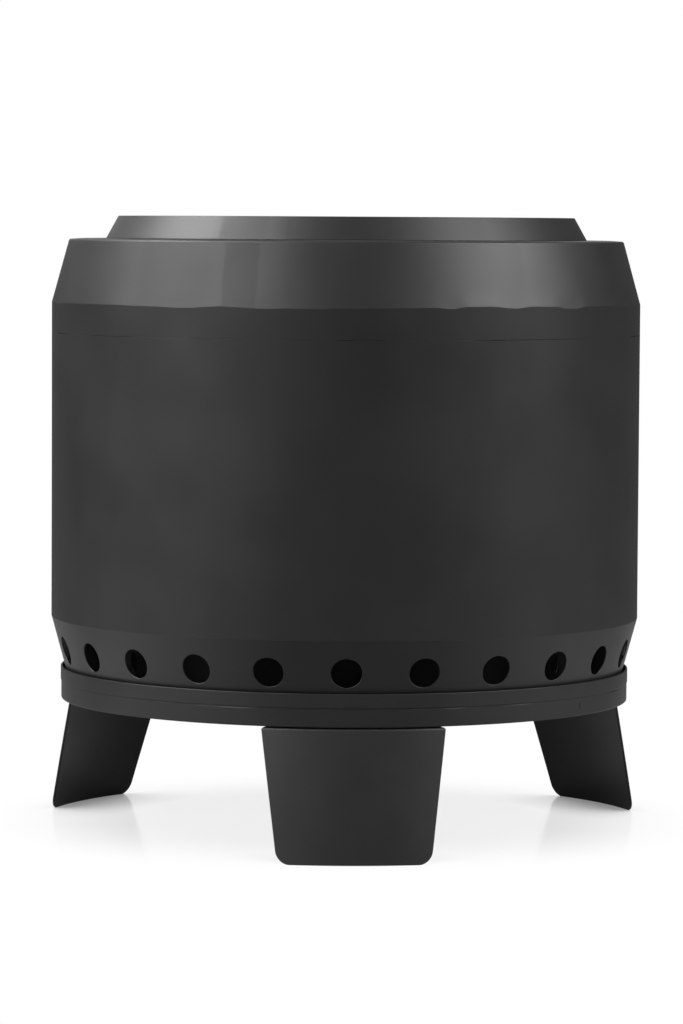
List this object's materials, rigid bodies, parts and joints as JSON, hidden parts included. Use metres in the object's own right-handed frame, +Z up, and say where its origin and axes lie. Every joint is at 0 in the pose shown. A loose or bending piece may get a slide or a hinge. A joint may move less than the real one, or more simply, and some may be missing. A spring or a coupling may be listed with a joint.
{
  "type": "smokeless fire pit",
  "caption": "Round double-walled smokeless fire pit on a three-legged ring, with a lift-off flame ring, a grate and an ash pan.",
  "frame": {"origin": "centre of the flat underside of the tray that the drum stands in, on the drum's axis, about 108 mm above the ground", "axes": "+Z up along the drum's axis; -Y is the front, towards the leg that stands alone; +X is to the right"},
  "size_m": [0.5022, 0.5105, 0.5124],
  "materials": {
    "satin_paint": "satin heat-resistant charcoal paint",
    "stainless_sheet": "brushed stainless sheet",
    "zinc_plated_steel": "zinc plated, dull bright"
  },
  "bodies": {
    "stand": {"leg_ring": "satin_paint", "base_tray": "satin_paint", "leg_front": "satin_paint", "leg_right": "satin_paint", "leg_left": "satin_paint", "leg_stud_1": "zinc_plated_steel", "leg_stud_2": "zinc_plated_steel", "leg_stud_3": "zinc_plated_steel", "leg_stud_4": "zinc_plated_steel", "leg_stud_5": "zinc_plated_steel", "leg_stud_6": "zinc_plated_steel", "leg_nut_1": "zinc_plated_steel", "leg_nut_2": "zinc_plated_steel", "leg_nut_3": "zinc_plated_steel", "leg_nut_4": "zinc_plated_steel", "leg_nut_5": "zinc_plated_steel", "leg_nut_6": "zinc_plated_steel"},
    "drum": {"intake_cone": "satin_paint", "body_wall": "satin_paint", "top_shroud": "satin_paint", "base_plate": "stainless_sheet", "firebox_wall": "stainless_sheet", "firebox_hearth": "satin_paint"},
    "flame_ring": {"flame_ring": "satin_paint"},
    "ash_pan": {"ash_pan": "stainless_sheet", "ash_pan_handle": "stainless_sheet"},
    "grate": {"grate": "stainless_sheet"}
  },
  "joints": [
    {"name": "drum_lift", "type": "slide", "parent": "stand", "child": "drum", "axis": [0, 0, 1], "range_m": [0, 0.15]},
    {"name": "flame_ring_lift", "type": "slide", "parent": "drum", "child": "flame_ring", "axis": [0, 0, 1], "range_m": [0, 0.1]},
    {"name": "ash_pan_lift", "type": "slide", "parent": "drum", "child": "ash_pan", "axis": [0, 0, 1], "range_m": [0, 0.42]},
    {"name": "grate_lift", "type": "slide", "parent": "ash_pan", "child": "grate", "axis": [0, 0, 1], "range_m": [0, 0.42]}
  ]
}
